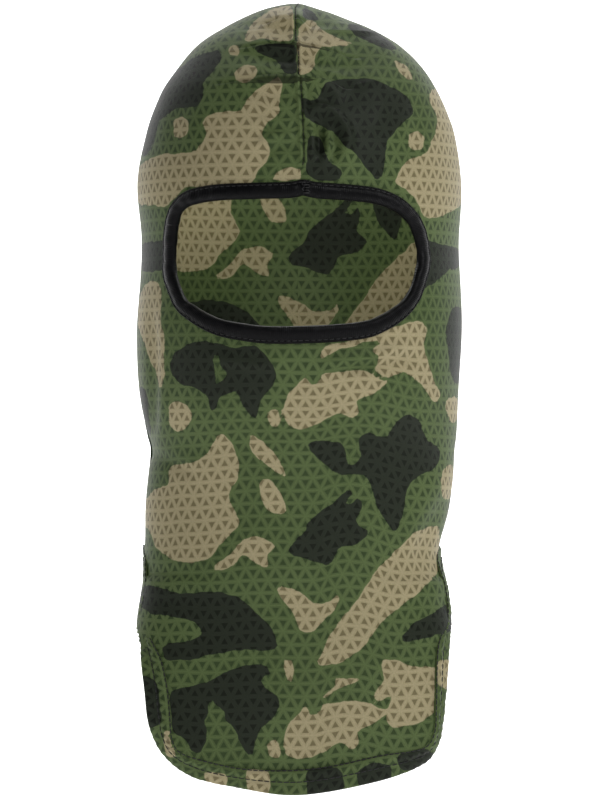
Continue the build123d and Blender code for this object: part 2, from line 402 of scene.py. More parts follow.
def lay_folds(points, around, rows, up, out, fold_shade):
    """Lap the cloth above each fold over the cloth below it. Up, out and the painted shade under
    each fold are changed.
    """
    for r, (height, fold, place) in enumerate(rows):
        across = points[r, :, 0]
        side = np.where(around[r] < 0, -around[r, 0], around[r, -1])
        side_fade = smooth(1.0, 0.6, np.abs(around[r]) / side)
        for k, (middle, slope_right, slope_left, reach_right, reach_left) in enumerate(FOLDS):
            above = height - middle
            if abs(above) > FOLD_FELT:
                continue
            share = np.abs(across) / np.where(across < 0, reach_right, reach_left)
            strength = smooth(1.0, 0.25, share) * side_fade
            slope = np.where(across < 0, slope_right * -across, slope_left * across)
            lean = slope * math.exp(-((above / 12.0) ** 2)) * smooth(1.3, 0.7, share) * side_fade
            if fold == k:
                folded, stands, flat = FOLD_PATH[place]
                up[r] += lean + (folded - flat) * strength
                out[r] += stands * strength
                # painted shade: the rows under the lip of a fold are marked to be darkened, as in
                # its shadow
                fold_shade[r] = strength * (4 <= place <= 5)
            elif fold < 0:
                up[r] += lean
                if above > 0:
                    proud = 3.0 * math.exp(-((above / 9.0) ** 2))
                    out[r] += proud * strength * smooth(133, 125, height)
                else:
                    out[r] -= 0.8 * math.exp(-(((above + 5) / 4.0) ** 2)) * strength


def seam_sway(around, z):
    """How far the crown seam runs aside, to the wearer's left if positive, and the cloth
    beside it with it."""
    above = -1.6 * smooth(102, 108, z) * smooth(133, 130, z)
    middle = 1.2 * smooth(91, 83, z) * smooth(40, 50, z)
    below = 1.6 * smooth(96, 44, z) * smooth(40, 46, z)
    widest = np.maximum(np.abs(around).max(1, keepdims=True), 0.1)
    fade = np.exp(-((around / 22) ** 2)) * smooth(1.0, 0.6, np.abs(around) / widest)
    return (above + middle + below) * fade


def shape_half(front, bottom):
    """The worn cloth of one half: points, lengths round, rows, and the painted shade under folds."""
    points, around, rows = grid_of_half(front, bottom)
    n = facing(points, front)
    x, z = points[..., 0], points[..., 2]
    lip = np.where(around < 0, 0.95, 0.55) * np.exp(-((np.abs(around) - 1.3) ** 2) / 0.9)
    groove = -0.75 * np.exp(-((around - 0.15) ** 2) / 0.16)
    seamed = (smooth(43, 47, z) if front else smooth(46, 54, z)) * smooth(133, 128, z)
    out = relief(x, z, front) + (lip + groove) * seamed
    up, fold_shade = np.zeros_like(z), np.zeros_like(z)
    if front:
        lay_folds(points, around, rows, up, out, fold_shade)
        points[..., 0] += seam_sway(around, z)
    at_pole = np.minimum(1, smooth(133.6, 131.5, z) + 0.02)
    points = points + n * (out * at_pole)[..., None]
    points[..., 2] += up
    return points, around, rows, fold_shade


front_points, front_around, front_rows, front_fold_shade = shape_half(True, -275.0)
back_points, back_around, back_rows, back_fold_shade = shape_half(False, -272.0)
print("front grid", front_points.shape, "back grid", back_points.shape)

# %% [markdown]
# ## The eye binding and the hem, as lines
#
# Both are strips that follow the cloth, so each is first a pair of lines. The binding's outer
# line is given as it looks from the front, and its inner line lies one tape's width inside.
# The hem is given as pairs of points: the seam where it joins the cloth, and its lower edge.
# On the wearer's right the hem faces forward, and on the left it has turned away, so it looks
# narrower there. What it lacks in width it has in depth.

# %% Lines of the binding and of the hem
BINDING_LINE = [
    (-68.4, 20.0), (-66.0, 28.6), (-61.0, 34.8), (-54.0, 38.2), (-42.0, 40.2), (-24.9, 40.9),
    (-5.2, 41.4), (2.6, 42.6), (10.4, 41.2), (27.0, 40.0), (40.0, 38.4), (49.3, 35.3),
    (56.6, 30.6), (63.3, 22.8), (67.5, 11.4), (68.5, 0.0), (66.4, -9.9), (63.3, -18.7),
    (58.6, -26.0), (52.9, -31.1), (45.2, -35.8), (36.3, -39.4), (21.8, -41.5), (1.0, -42.6),
    (-17.1, -42.6), (-30.1, -41.0), (-40.5, -38.9), (-48.8, -35.3), (-56.1, -30.6),
    (-61.8, -25.4), (-66.0, -17.0), (-68.8, -8.0), (-69.6, 1.0), (-69.4, 11.0),
]
HEM_WIDE = 13.0
HEM_PAIRS = [
    ((-74.8, -198.0), (-81.5, -198.0)),
    ((-70.8, -207.0), (-81.3, -207.0)),
    ((-67.8, -222.0), (-79.6, -222.0)),
    ((-66.4, -236.0), (-78.0, -237.0)),
    ((-65.3, -246.0), (-74.5, -248.0)),
    ((-61.0, -253.6), (-67.5, -258.5)),
    ((-48.0, -258.5), (-54.0, -267.6)),
    ((-27.5, -262.6), (-31.0, -273.0)),
    ((-4.2, -263.6), (-7.0, -276.4)),
    ((16.6, -261.6), (14.5, -274.8)),
    ((42.6, -255.9), (43.5, -268.8)),
    ((57.0, -253.6), (60.5, -263.0)),
    ((66.0, -250.8), (69.0, -257.0)),
    ((70.2, -243.0), (73.8, -246.5)),
    ((71.1, -227.3), (76.3, -227.6)),
    ((72.1, -200.0), (78.2, -200.0)),
]
# Over the shoulder the same pair is given by depth and height
SHOULDER = [
    ((0.0, -146.8), (0.0, -160.0)),
    ((16.6, -153.8), (7.2, -163.0)),
    ((23.2, -168.0), (10.2, -169.6)),
    ((25.5, -183.0), (12.0, -183.0)),
]
SEAM_PROUD, EDGE_PROUD = 0.7, 0.3  # the hem hugs the cloth over the shoulders
BACK_WIDE, BACK_SEAM_UP, BACK_EDGE_UP = 0.965, 5.0, 5.5  # the back bib, beside the front one


def side_x(y, z, side):
    """How far out the cloth is at one side, at a depth and a height."""
    right, left, front, _, parted = (float(v) for v in level(z))
    reach = right if side < 0 else left
    share = min(max((y - parted) / (front - parted), 0.0), 0.999)
    return side * reach * (1 - share**SQUARENESS) ** (1 / SQUARENESS)


def over_shoulder(side, way):
    """The two lines of the hem over one shoulder, from its top down."""
    inner = [(side_x(y, z, side) - side * SEAM_PROUD, way * y, z) for (y, z), _ in SHOULDER]
    outer = [(side_x(y, z, side) - side * EDGE_PROUD, way * y, z) for _, (y, z) in SHOULDER]
    return inner, outer


def hem_lines(front):
    """The seam line and the lower edge of one bib's hem, from shoulder to shoulder."""
    pairs = HEM_PAIRS
    if not front:
        pairs = [
            ((a * BACK_WIDE, b + BACK_SEAM_UP), (c * BACK_WIDE, d + BACK_EDGE_UP))
            for (a, b), (c, d) in HEM_PAIRS
        ]
    way = -1 if front else 1
    inner, outer = over_shoulder(-1, way)
    seam, edge = seen([a for a, _ in pairs]), seen([b for _, b in pairs])
    for (ax, az), (bx, bz) in zip(seam, edge):
        ay = float(front_y(np.array(ax), np.array(az)))
        turned = math.sqrt(max(HEM_WIDE**2 - (bx - ax) ** 2 - (bz - az) ** 2, 0.0))
        inner.append((ax, -way * ay, az))
        outer.append((bx, -way * ay - way * min(turned, 12.0), bz))
    far_inner, far_outer = over_shoulder(1, way)
    return spline(inner + far_inner[::-1], 24), spline(outer + far_outer[::-1], 24)


front_seam_line, front_edge_line = hem_lines(True)
back_seam_line, back_edge_line = hem_lines(False)
binding_outer = closed_spline(seen(BINDING_LINE), 12)
tangent = np.roll(binding_outer, -1, 0) - np.roll(binding_outer, 1, 0)
tangent /= np.linalg.norm(tangent, axis=1, keepdims=True)
inward = np.stack([tangent[:, 1], -tangent[:, 0]], 1)
if (inward[0] @ (-binding_outer[0])) < 0:
    inward = -inward
# seen from the front the tape looks narrower at the sides, where it turns away
TAPE_AT_SIDES, TAPE_WIDER_ABOVE, TAPE_WIDER_BELOW = 5.7, 2.6, 0.6
level_part = tangent[:, :1] ** 2
below = binding_outer[:, 1:] < 0
tape_wide = TAPE_AT_SIDES + TAPE_WIDER_ABOVE * level_part + TAPE_WIDER_BELOW * below * level_part
binding_inner = binding_outer + inward * tape_wide
print("hem points", len(front_seam_line), "binding points", len(binding_outer))

# %% [markdown]
# ## The print
#
# Tan and black shapes lie on green. An image would be simplest, but a material must make do
# without one, so each shape is an outline, as it looks from the front. A vertex of the cloth
# keeps how far inside the nearest shape it is, and the material turns that into a crisp edge.
# The back half carries the same shapes one repeat of the print higher, which is what shows
# through the eye opening. The hem is cut from another place in the print, so it has its own.

# %% The shapes
BLOTCH = [
    (-66.5, -56), (-65, -48), (-58.5, -43), (-49.5, -41), (-43, -42), (-34, -44.5), (-22, -43),
    (-14.5, -51), (-10.5, -58.5), (-13, -65), (-18.5, -70), (-21, -77), (-22, -82), (-26, -78),
    (-30, -71.5), (-32.5, -66.5), (-36.5, -68), (-40.5, -69), (-43, -78), (-45.5, -77), (-47, -70),
    (-53.5, -65), (-61, -64),
]
BLOTCH_GAP = [
    (-44.5, -49.5), (-41, -47), (-40.5, -53.5), (-36, -58), (-39, -61.5), (-42.5, -64),
    (-43, -58.5),
]
LOAF = [
    (-8, -78), (-5.5, -69), (1, -62.5), (3.5, -58.5), (6, -64), (11.5, -62.5), (12.5, -57.5),
    (19, -57.5), (29.5, -56), (38.5, -57.5), (42.5, -61), (48, -61), (41, -67.5), (29.5, -71.5),
    (32, -78), (28, -82), (22, -78), (16.5, -80.5), (10, -84.5), (1, -87), (-5.5, -84.5),
]
HORN = [
    (19, -43), (48, -34), (63, -30), (67, -35), (65, -43), (68.5, -56), (74, -69), (71, -74),
    (64, -64), (55.5, -56), (45, -61), (38.5, -56), (42.5, -49), (37, -46), (45, -40.5),
]
DROP = [(-16, -78), (-11, -76), (-9, -81), (-10, -86), (-15, -85)]
AGAIN = -171.0  # the print comes round again this much lower


def moved(shape, up):
    """The same outline higher up, or lower down if up is negative."""
    return [(x, z + up) for x, z in shape]


TAN = [
    LOAF,
    moved(LOAF, AGAIN),
    HORN,
    DROP,
    moved(DROP, AGAIN),
    [(11, -51), (14, -43), (30, -40.5), (32, -43), (19, -46)],
    [(-65, 73), (-61, 75), (-57, 73), (-57, 67), (-60, 64), (-64, 65)],
    [
        (-14.5, 93), (-10.5, 96), (-8, 92), (-9.5, 84), (-9.5, 77.5), (-12, 75), (-17, 71),
        (-19.5, 66), (-14.5, 60.5), (-14.5, 55.5), (-17, 50.5), (-21, 46.5), (-23.5, 40),
        (-40, 36), (-58.5, 40), (-64, 32), (-69, 28), (-77, 29.5), (-88, 29), (-90, 45), (-77, 53),
        (-71.5, 55.5), (-58.5, 56), (-51, 58), (-47, 66), (-49.5, 71), (-47, 76), (-40.5, 77.5),
        (-30, 77.5), (-26, 84), (-22.5, 89),
    ],
    [(-36, 111), (-33, 113), (-30, 110), (-31, 106), (-35, 107)],
    [(-33, 99), (-27, 102), (-21, 101), (-22, 95), (-27, 92), (-32, 94)],
    [
        (-28, 114), (-25, 122), (-19, 128), (-10, 132), (-3, 133), (-2, 120), (-3, 114),
        (-10, 114), (-17, 116), (-22, 115),
    ],
    [(-14, 42), (-11, 46), (-5, 49), (2, 48), (2, 42)],
    [
        (-0.5, 120.5), (5, 124.5), (7.5, 125), (11.5, 120.5), (19, 116.5), (29.5, 112.5),
        (22, 111.5), (11.5, 111.5), (9, 106), (7.5, 99.5), (3.5, 97), (0, 97),
    ],
    [(49, 105), (53, 103.5), (58, 98.5), (60.5, 93), (57, 94.5), (51.5, 99.5)],
    [(57, 66), (62, 68), (65.5, 63.5), (64.5, 58), (59.5, 57.5), (57, 60.5)],
    [
        (70, 90.5), (67, 84), (72.5, 73.5), (71, 66), (66, 55.5), (58, 53), (53, 48), (49, 41),
        (55.5, 37.5), (60.5, 32), (64.5, 24.5), (67, 22), (76.5, 24.5), (89, 31), (89, 84),
    ],
    [(-67, -74), (-62, -72), (-57, -74), (-55, -81), (-58, -87), (-63, -88), (-67, -84)],
    [
        (-43, -91), (-39, -88.5), (-34, -93.5), (-30.5, -103), (-31.5, -113), (-35.5, -118.5),
        (-35, -126), (-29.5, -135), (-34, -140.5), (-40.5, -147), (-45.5, -153.5), (-53.5, -156),
        (-64, -155), (-73, -149.5), (-77, -139), (-84, -135), (-84, -122), (-78, -121),
        (-73, -117), (-66.5, -115.5), (-67, -106.5), (-62.5, -105), (-53.5, -104), (-47, -100),
    ],
    [(-79, -103), (-76, -107), (-76, -112), (-82, -114), (-84, -104)],
    [(-25, -89), (-18, -93), (-11, -100), (-6, -112), (-15, -106), (-25, -98)],
    [(-20, -113), (-15, -113), (-9, -119), (-5, -130), (-14, -131), (-20, -121)],
    [
        (-45, -159), (-36, -152), (-29, -144), (-20, -142), (-11, -147), (-16, -151), (-15, -159),
        (-22, -156), (-29, -151), (-34, -158), (-40, -160),
    ],
    [
        (74, -136), (62, -139), (52, -148), (42, -158), (37, -166), (27, -179), (17, -192),
        (9, -209), (16, -209), (23, -207), (35, -199), (42, -187), (59, -174), (74, -160),
    ],
    [
        (-11, -168), (-5, -169), (2, -172), (8, -177), (17, -176), (21, -172), (21, -176),
        (18, -181), (12, -187), (7, -192), (1, -191), (-2, -183), (-8, -176),
    ],
    [
        (42, -206), (51, -206), (59, -210), (71, -210), (82, -210), (80, -231), (70, -233),
        (63, -239), (48, -242), (45, -236), (49, -224), (41, -228), (39, -224), (45, -217),
    ],
    [
        (17, -215), (24, -216), (33, -215), (30, -218), (25, -219), (19, -222), (12, -227),
        (15, -223), (20, -218),
    ],
    [(-8, -206), (-3, -206), (-2, -213), (-4, -219), (-7, -213)],
    [
        (-84, -20), (-78, -10.5), (-73, -9.5), (-70.5, -17), (-71, -30), (-69, -45.5),
        (-69.5, -61), (-71.5, -66.5), (-74, -56), (-79.5, -43), (-84, -30),
    ],
    [(74, -108), (79, -104), (86, -108), (86, -124), (79, -126), (74, -121)],
    [(76, -72), (83, -69), (87, -82), (78, -84)],
]
DARK = [
    BLOTCH,
    [
        (-67, -222), (-56, -220), (-47, -218), (-40.5, -214.5), (-31.5, -209.5), (-22.5, -208),
        (-16, -209.5), (-14, -215), (-17, -213.5), (-19.5, -217), (-16.5, -221), (-12, -223.5),
        (-9.5, -228.5), (-12.5, -236.5), (-18.5, -240.5), (-22.5, -247), (-23, -256),
        (-26, -255.5), (-30, -249.5), (-32, -243), (-35.5, -239), (-39, -236.5), (-37.5, -233),
        (-42.5, -230.5), (-45, -225.5), (-46.5, -230), (-46, -234.5), (-49.5, -237.5),
        (-47, -241.5), (-47.5, -248), (-51, -254.5), (-55, -254), (-57.5, -248), (-61, -245.5),
        (-65, -243.5), (-66, -232.5),
    ],
    [
        (-51, 107.5), (-40.5, 110), (-39, 103.5), (-44.5, 98.5), (-49.5, 93), (-49, 84), (-52, 80),
        (-61, 80), (-67.5, 76.5), (-73, 71), (-75.5, 58), (-81, 53), (-88, 70), (-78, 86),
        (-64, 99),
    ],
    [
        (-23.5, 111.5), (-18.5, 112.5), (-9.5, 113), (-0.5, 112), (-0.5, 97), (-7, 97),
        (-10, 103.5), (-14.5, 106), (-21, 107.5),
    ],
    [(2, 131), (7, 130), (12, 125), (7, 125), (3, 127)],
    [(25, 124), (33, 122), (44, 117), (52, 110), (48, 109), (38, 113), (30, 116)],
    [
        (14, 93), (22, 94.5), (37.5, 95), (47.5, 90.5), (58, 85.5), (60, 76.5), (53, 70),
        (46.5, 63.5), (45, 55.5), (44, 44), (40, 42.5), (34.5, 49), (28.5, 57), (23, 60.5),
        (19, 67), (11.5, 70), (2.5, 75), (1.5, 85.5), (7.5, 83), (11.5, 85.5),
    ],
    # This black shape beside the binding's join is partly print and partly painted shade of the
    # deep creases there.
    [
        (5, 66), (11.5, 64.5), (14, 58), (15.5, 51.5), (23, 47.5), (23, 42.5), (11.5, 41),
        (3.5, 45), (5, 55.5),
    ],
    [(-88, 9), (-77, 10), (-68, 11.5), (-68, -4), (-78, -5.5), (-88, -3)],
    [(64, 12), (74, 9), (89, 6), (89, -3), (78, -4), (70, -12), (62, -16)],
    [(89, -22), (79, -24), (76, -36), (78, -50), (80, -62), (89, -70)],
    [(-84, -64), (-79, -65), (-77, -77), (-76, -92), (-79, -99), (-84, -98)],
    [
        (4, -93.5), (14, -92.5), (18, -93.5), (22, -93), (24, -97.5), (25.5, -105.5), (29.5, -105),
        (33.5, -101.5), (31.5, -95), (32.5, -90), (37.5, -88.5), (42.5, -91), (46.5, -91),
        (50.5, -83.5), (55.5, -79), (62, -80.5), (64.5, -87), (67, -92.5), (73.5, -96.5),
        (73.5, -103), (68.5, -108), (63.5, -110.5), (58, -114.5), (55.5, -121), (54, -131.5),
        (51.5, -139), (49, -139), (44, -132.5), (40, -126), (38.5, -118.5), (35, -110.5),
        (27, -110), (22, -110.5), (11.5, -104),
    ],
    [
        (-5.5, -149.5), (-3, -145.5), (3.5, -140.5), (5, -135), (9, -131.5), (14, -127.5),
        (18, -125), (22, -121), (25.5, -118), (29, -119), (27, -121.5), (24.5, -125), (27, -126),
        (31, -122), (33.5, -125), (32, -130), (29.5, -134), (33.5, -138), (36.5, -140.5),
        (32, -145.5), (27, -147), (20.5, -148), (19, -153.5), (15.5, -157.5), (10, -156),
        (3.5, -153.5), (-3, -152.5),
    ],
    [
        (-78, -167), (-69, -170), (-59, -172), (-45, -170), (-33, -173), (-26, -177), (-20, -183),
        (-14, -189), (-10, -200), (-18, -201), (-33, -201), (-45, -203), (-59, -207), (-69, -206),
        (-71, -200), (-67, -197), (-53, -196), (-49, -192), (-53, -186), (-62, -184), (-74, -183),
        (-82, -179), (-83, -169),
    ],
    [
        (80, -175), (74, -179), (66, -184), (58, -188), (52, -196), (59, -197), (73, -193),
        (81, -191),
    ],
    [(-82, -227), (-76, -222), (-73, -234), (-72, -248), (-77, -254), (-83, -248)],
]
# Green that shows through the black shapes
GREEN = [
    BLOTCH_GAP,
    [(-77, -196), (-72, -191), (-61, -190), (-56, -193), (-62, -196), (-72, -198)],
]
HEM_TAN = [
    [(-49.5, -264), (-36.5, -264.5), (-37, -272.5), (-47, -270.5)],
    [(-27.5, -262), (-14.5, -263), (-15, -277), (-26, -275)],
    [(-69.5, -242), (-64, -244), (-63, -257), (-68.5, -256)],
    [(72, -206), (82, -206), (82, -222), (72, -220)],
]
HEM_DARK = [
    [(3.5, -262), (22, -261), (24, -271), (19, -279), (5, -279)],
    [(29.5, -264.5), (37.5, -259), (49, -261), (47.5, -273), (32, -273)],
    [(50.5, -254.5), (68.5, -251), (72, -262), (53, -264)],
    [(-84, -213), (-73, -216), (-70, -237.5), (-76.5, -243), (-84, -230)],
]
PRINT_REPEAT = 150.5  # the back's shapes lie this much higher than the front's
print("tan shapes", len(TAN), "black shapes", len(DARK))

# %% [markdown]
# ## From shapes to fields
#
# A drawn outline has corners, and printed camouflage has none, so each corner is cut twice.
# Then the distance from each vertex to the outlines is worked out, as a field. A field needs
# no finer mesh where a shape ends, and it can be roughened later like the edge of real ink.

# %% The tan and the black field of each half
FAR_OUTSIDE = 12.0
CORNER_CUTS = (0.17, 0.25)


def rounded(points):
    """An outline with its corners cut, a little each time."""
    pts = np.array(points, float)
    for cut in CORNER_CUTS:
        after = np.roll(pts, -1, 0)
        pair = [pts * (1 - cut) + after * cut, pts * cut + after * (1 - cut)]
        pts = np.stack(pair, 1).reshape(-1, 2)
    return pts


def inside(x, z, shapes):
    """How far inside the nearest shape each place is, in millimetres, or outside if negative."""
    best = np.full(x.shape, -FAR_OUTSIDE)
    for shape in shapes:
        pts = rounded(shape)
        low, high = pts.min(0) - FAR_OUTSIDE, pts.max(0) + FAR_OUTSIDE
        near = (x > low[0]) & (x < high[0]) & (z > low[1]) & (z < high[1])
        if not near.any():
            continue
        px, pz = x[near], z[near]
        far = np.full(px.shape, 1e9)
        odd = np.zeros(px.shape, bool)
        for (ax, az), (bx, bz) in zip(pts, np.roll(pts, -1, 0)):
            dx, dz = bx - ax, bz - az
            t = np.clip(((px - ax) * dx + (pz - az) * dz) / (dx * dx + dz * dz + 1e-12), 0, 1)
            far = np.minimum(far, (px - ax - t * dx) ** 2 + (pz - az - t * dz) ** 2)
            crosses = (az > pz) != (bz > pz)
            odd ^= crosses & (px < (bx - ax) * (pz - az) / (bz - az + 1e-12) + ax)
        far = np.sqrt(far)
        best[near] = np.maximum(best[near], np.where(odd, far, -far))
    return best


def as_seen(points):
    """Where places on the cloth appear from the front, at the scale of the head's middle."""
    near = CAMERA_AWAY / (CAMERA_AWAY + points[..., 1])
    return (
        CAMERA_X + (points[..., 0] - CAMERA_X) * near,
        CAMERA_Z + (points[..., 2] - CAMERA_Z) * near,
    )

def print_fields(points, around, front):
    """The tan and the black field of one half."""
    x, z = as_seen(points)
    if front:
        tan, dark = inside(x, z, TAN), inside(x, z, DARK)
        return tan, np.minimum(dark, -inside(x, z, GREEN))
    # past the sides the print runs on with the cloth instead of with the sight lines
    across = np.abs(points[..., 0])
    with_cloth = np.sign(around) * np.minimum(np.abs(around) * 0.78, 140)
    turned = smooth(0.72, 0.95, across / np.maximum(across.max(1, keepdims=True), 1))
    x = x + (with_cloth - x) * turned * 0.5
    upper = smooth(-140, -112, z)  # from the neck up the print lies one repeat higher
    tan, dark = (
        inside(x, z - PRINT_REPEAT, shapes) * upper + inside(x, z, shapes) * (1 - upper)
        for shapes in (TAN, DARK)
    )
    return tan, dark


AGREE_COLUMNS = 14


def agree_at_sides(front_field, back_field):
    """Make one field the same in both halves where they meet: each takes the mean there."""
    for side in (0, -1):
        front_z, back_z = front_points[:, side, 2], back_points[:, side, 2]
        front_edge, back_edge = front_field[:, side].copy(), back_field[:, side].copy()
        to_front = np.interp(front_z, back_z, back_edge) - front_edge
        to_back = np.interp(back_z, front_z, front_edge) - back_edge
        for k in range(AGREE_COLUMNS):
            column = k if side == 0 else -1 - k
            share = 0.5 * (1 - k / AGREE_COLUMNS) ** 2
            front_field[:, column] += to_front * share
            back_field[:, column] += to_back * share


front_tan, front_dark = print_fields(front_points, front_around, True)
back_tan, back_dark = print_fields(back_points, back_around, False)
agree_at_sides(front_tan, back_tan)
agree_at_sides(front_dark, back_dark)
print("tan share", round(float((front_tan > 0).mean()), 2))
print("black share", round(float((front_dark > 0).mean()), 2))

# %% [markdown]
# ## Materials
#
# A material is a graph of nodes. Wiring dozens of Math nodes by hand is slow and hard to read,
# so a small class wraps one socket, and an expression such as 1 - mask adds its nodes itself.
# A second class holds one material and makes every other node.

# %% Shader helpers
class Value:
    """One shader socket, with the arithmetic that materials need."""

    def __init__(self, graph, socket):
        self.graph, self.socket = graph, socket

    def math(self, operation, *others):
        node = self.graph.tree.nodes.new("ShaderNodeMath")
        node.operation = operation
        for place, item in enumerate((self, *others)):
            self.graph.feed(node.inputs[place], item)
        return Value(self.graph, node.outputs[0])

    def __add__(self, other):
        return self.math("ADD", other)

    __radd__ = __add__

    def __sub__(self, other):
        return self.math("SUBTRACT", other)

    def __rsub__(self, other):
        return (self * -1.0).math("ADD", other)

    def __mul__(self, other):
        return self.math("MULTIPLY", other)

    __rmul__ = __mul__

    def __truediv__(self, other):
        return self.math("DIVIDE", other)

    def least(self, other):
        return self.math("MINIMUM", other)

    def most(self, other):
        return self.math("MAXIMUM", other)

    def fraction(self):
        return self.math("FRACT")

    def over(self, low, high):
        """0 below low, 1 above high, and smooth between."""
        span = self.math("SUBTRACT", low) * (1.0 / (high - low))
        return span.math("MINIMUM", 1.0).math("MAXIMUM", 0.0)


def linear(red, green, blue):
    """A colour as painters name it, from 0 to 255, as the renderer wants it."""
    out = []
    for c in (red, green, blue):
        s = c / 255
        out.append(s / 12.92 if s <= 0.04045 else ((s + 0.055) / 1.055) ** 2.4)
    return (*out, 1.0)


class Graph:
    """One material and the nodes in it."""

    def __init__(self, name):
        self.material = bpy.data.materials.new(name)
        self.material.use_nodes = True
        self.tree = self.material.node_tree
        self.shader = self.tree.nodes["Principled BSDF"]

    def feed(self, socket, item):
        """Link a Value to a socket, or set the socket to a number or a colour."""
        if isinstance(item, Value):
            self.tree.links.new(item.socket, socket)
        else:
            socket.default_value = item

    def node(self, kind, output=0, inputs=(), **settings):
        """One node of any kind, with its settings and then its inputs."""
        made = self.tree.nodes.new(kind)
        for key, value in settings.items():
            setattr(made, key, value)
        for key, value in dict(inputs).items():
            self.feed(made.inputs[key], value)
        return Value(self, made.outputs[output])

    def field(self, name):
        """A value that the vertices keep."""
        return self.node("ShaderNodeAttribute", "Fac", attribute_name=name)

    def noise(self, scale, detail=2.0):
        """Random mottling of the piece, fixed to it."""
        place = self.node("ShaderNodeTexCoord", "Object")
        settings = {"Vector": place, "Scale": scale, "Detail": detail}
        return self.node("ShaderNodeTexNoise", "Fac", settings)

    def mix(self, share, one, other):
        """Two colours, each a colour or a Value, mixed by share."""
        # a Mix node keeps its colours behind those sockets
        return self.node("ShaderNodeMix", 2, {0: share, 6: one, 7: other}, data_type="RGBA")

    def bump(self, height, strength, distance):
        """Small relief that only bends the light."""
        settings = {"Height": height, "Strength": strength, "Distance": distance}
        self.feed(self.shader.inputs["Normal"], self.node("ShaderNodeBump", inputs=settings))

    def surface(self, **inputs):
        """Set the shader's own inputs, named with _ for a space."""
        for key, value in inputs.items():
            self.feed(self.shader.inputs[key.replace("_", " ")], value)
        return self.material


print("shader helpers ready")

# %% [markdown]
# ## The printed knit
#
# The print's edges come from the fields kept on the cloth, roughened a little like ink on
# knit. Over all of it lies a lattice of small triangles. Three families of lines make it,
# worked out from the place on the cloth, so that the lattice follows the cloth round the head.
# The knit itself is a fine bump, because its loops are far too many to model.

# %% Lattice and cloth
TRIANGLE = 0.0075
TRIANGLE_ROW = 0.0065
# Each colour of the print: its ground, the middle of its triangles and its bright lines
GREEN_SHADES = (linear(74, 88, 54), linear(85, 99, 63))
GREEN_TRIANGLE, GREEN_LINE = linear(54, 67, 41), linear(98, 114, 72)
SAND_GROUND, SAND_TRIANGLE, SAND_LINE = (
    linear(154, 144, 112), linear(112, 103, 76), linear(172, 163, 130)
)
BLACK_GROUND, BLACK_TRIANGLE = linear(41, 46, 37), linear(26, 29, 23)
# the second colour is painted shade for the cloth under the lip of a crown fold
SPECK_COLOUR, FOLD_SHADE_COLOUR = linear(20, 22, 18), linear(14, 15, 12)
LINE_SHARE = 0.35
INK_EDGE = 0.22  # millimetres over which one colour gives way to the next


def lattice(graph):
    """How near each place is to the middle of its triangle: 0 on a line, 1/3 in the middle."""
    place = graph.node("ShaderNodeUVMap", "UV", uv_map="cloth")
    across = graph.node("ShaderNodeSeparateXYZ", "X", {0: place})
    up = Value(graph, across.socket.node.outputs["Y"])
    level_lines = (up / TRIANGLE_ROW).fraction()
    right_lines = (across / TRIANGLE - up / (2 * TRIANGLE_ROW)).fraction()
    left_lines = (across * (-1.0 / TRIANGLE) - up / (2 * TRIANGLE_ROW)).fraction()
    upright = (level_lines + right_lines + left_lines).over(1.499, 1.501)
    lowest = level_lines.least(right_lines).least(left_lines)
    highest = 1.0 - level_lines.most(right_lines).most(left_lines)
    return lowest * (1.0 - upright) + highest * upright


def printed_knit():
    g = Graph("printed stretch knit")
    middle = lattice(g)
    triangle = middle.over(0.15, 0.2)
    line = (1.0 - middle.over(0.03, 0.085)) * LINE_SHARE
    rough_edge = (g.noise(300.0, 3.0) - 0.5) * 1.3 + (g.noise(110.0) - 0.5) * 2.6
    tan, dark = (
        (g.field(name) + rough_edge).over(-INK_EDGE, INK_EDGE) for name in ("tan", "dark")
    )
    green = g.mix(g.noise(18.0).over(0.35, 0.7), *GREEN_SHADES)
    green = g.mix(line, g.mix(triangle, green, GREEN_TRIANGLE), GREEN_LINE)
    sand = g.mix(line, g.mix(triangle, SAND_GROUND, SAND_TRIANGLE), SAND_LINE)
    black = g.mix(triangle, BLACK_GROUND, BLACK_TRIANGLE)
    colour = g.mix(dark, g.mix(tan, green, sand), black)
    speck = g.noise(1400.0, 1.0)
    colour = g.mix(speck.over(0.3, 0.75) * 0.16, colour, SPECK_COLOUR)
    # painted shade: the cloth under each crown fold is darkened, as in the shadow of its lip
    colour = g.mix(g.field("fold_shade") * 0.75, colour, FOLD_SHADE_COLOUR)
    g.bump(speck * 0.6 + g.noise(420.0) * 0.4, 0.35, 0.0006)
    return g.surface(Base_Color=colour, Roughness=0.5, Specular_IOR_Level=0.06)


CLOTH_LOOK = printed_knit()
print("cloth nodes", len(CLOTH_LOOK.node_tree.nodes))

# %% [markdown]
# ## Tape, thread and elastic
#
# The binding is a black tape with fine ribs across it. They could be modelled, but at this
# size a bump of a sine along the tape shows them as well. Thread and elastic are near black
# with a little grain.

# %% The black finishes
RIB = 0.00095


def ribbed_tape():
    g = Graph("black elastic tape")
    place = g.node("ShaderNodeUVMap", "UV", uv_map="cloth")
    along = g.node("ShaderNodeSeparateXYZ", "X", {0: place})
    rib = (along * (2 * math.pi / RIB)).math("SINE")
    grain = g.noise(900.0)
    g.bump(rib * 0.5 + grain, 0.35, 0.0004)
    colour = g.mix(grain.over(0.3, 0.7), linear(5, 5, 6), linear(9, 9, 11))
    return g.surface(Base_Color=colour, Roughness=0.38, Specular_IOR_Level=0.1)


def grained(name, colour, other, roughness, scale):
    g = Graph(name)
    grain = g.noise(scale, 3.0)
    g.bump(grain, 0.3, 0.0005)
    return g.surface(Base_Color=g.mix(grain.over(0.3, 0.7), colour, other), Roughness=roughness)


